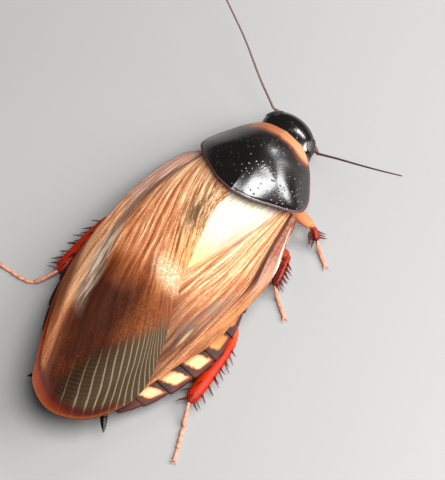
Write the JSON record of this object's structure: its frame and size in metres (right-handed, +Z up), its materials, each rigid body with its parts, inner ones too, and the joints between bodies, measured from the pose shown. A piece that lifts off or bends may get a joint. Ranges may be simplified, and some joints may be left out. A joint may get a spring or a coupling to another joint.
{
  "type": "surinam cockroach",
  "caption": "Adult burrowing cockroach standing at rest: glossy shield, overlapping veined wing cases, spiny legs and thin feelers.",
  "frame": {"origin": "on the floor, under the middle of the model's bounding box", "axes": "+Z up, head towards -Y, the animal's left side towards +X"},
  "size_m": [0.0184, 0.0274, 0.0076],
  "materials": {
    "black_shell": "glossy black shell with fine pits, dark red rims and a pale front band",
    "eye_shell": "smooth dark compound eye",
    "wing_case": "glossy orange brown, streaked along the veins and dark brown at the rear",
    "belly_shell": "dark reddish brown with cream spots along the sides of the back",
    "red_leg": "glossy orange red with dark spines",
    "pale_foot": "pale pinkish tan",
    "feeler": "dark reddish brown"
  },
  "bodies": {
    "root": {"head": "black_shell", "pronotum": "black_shell", "eye_left": "eye_shell", "eye_right": "eye_shell", "antenna_base_left": "feeler", "antenna_base_right": "feeler", "antenna_left": "feeler", "antenna_right": "feeler", "palp_left": "feeler", "palp_right": "feeler", "neck": "belly_shell", "thorax": "belly_shell", "abdomen": "belly_shell", "cercus_left": "belly_shell", "cercus_right": "belly_shell", "tegmen_left": "wing_case", "tegmen_right": "wing_case", "coxa_fore_left": "red_leg", "femur_fore_left": "red_leg", "tibia_fore_left": "red_leg", "tarsus_fore_left": "pale_foot", "coxa_fore_right": "red_leg", "femur_fore_right": "red_leg", "tibia_fore_right": "red_leg", "tarsus_fore_right": "pale_foot", "coxa_mid_left": "red_leg", "femur_mid_left": "red_leg", "tibia_mid_left": "red_leg", "tarsus_mid_left": "pale_foot", "coxa_mid_right": "red_leg", "femur_mid_right": "red_leg", "tibia_mid_right": "red_leg", "tarsus_mid_right": "pale_foot", "coxa_hind_left": "red_leg", "femur_hind_left": "red_leg", "tibia_hind_left": "red_leg", "tarsus_hind_left": "pale_foot", "coxa_hind_right": "red_leg", "femur_hind_right": "red_leg", "tibia_hind_right": "red_leg", "tarsus_hind_right": "pale_foot"}
  },
  "joints": []
}
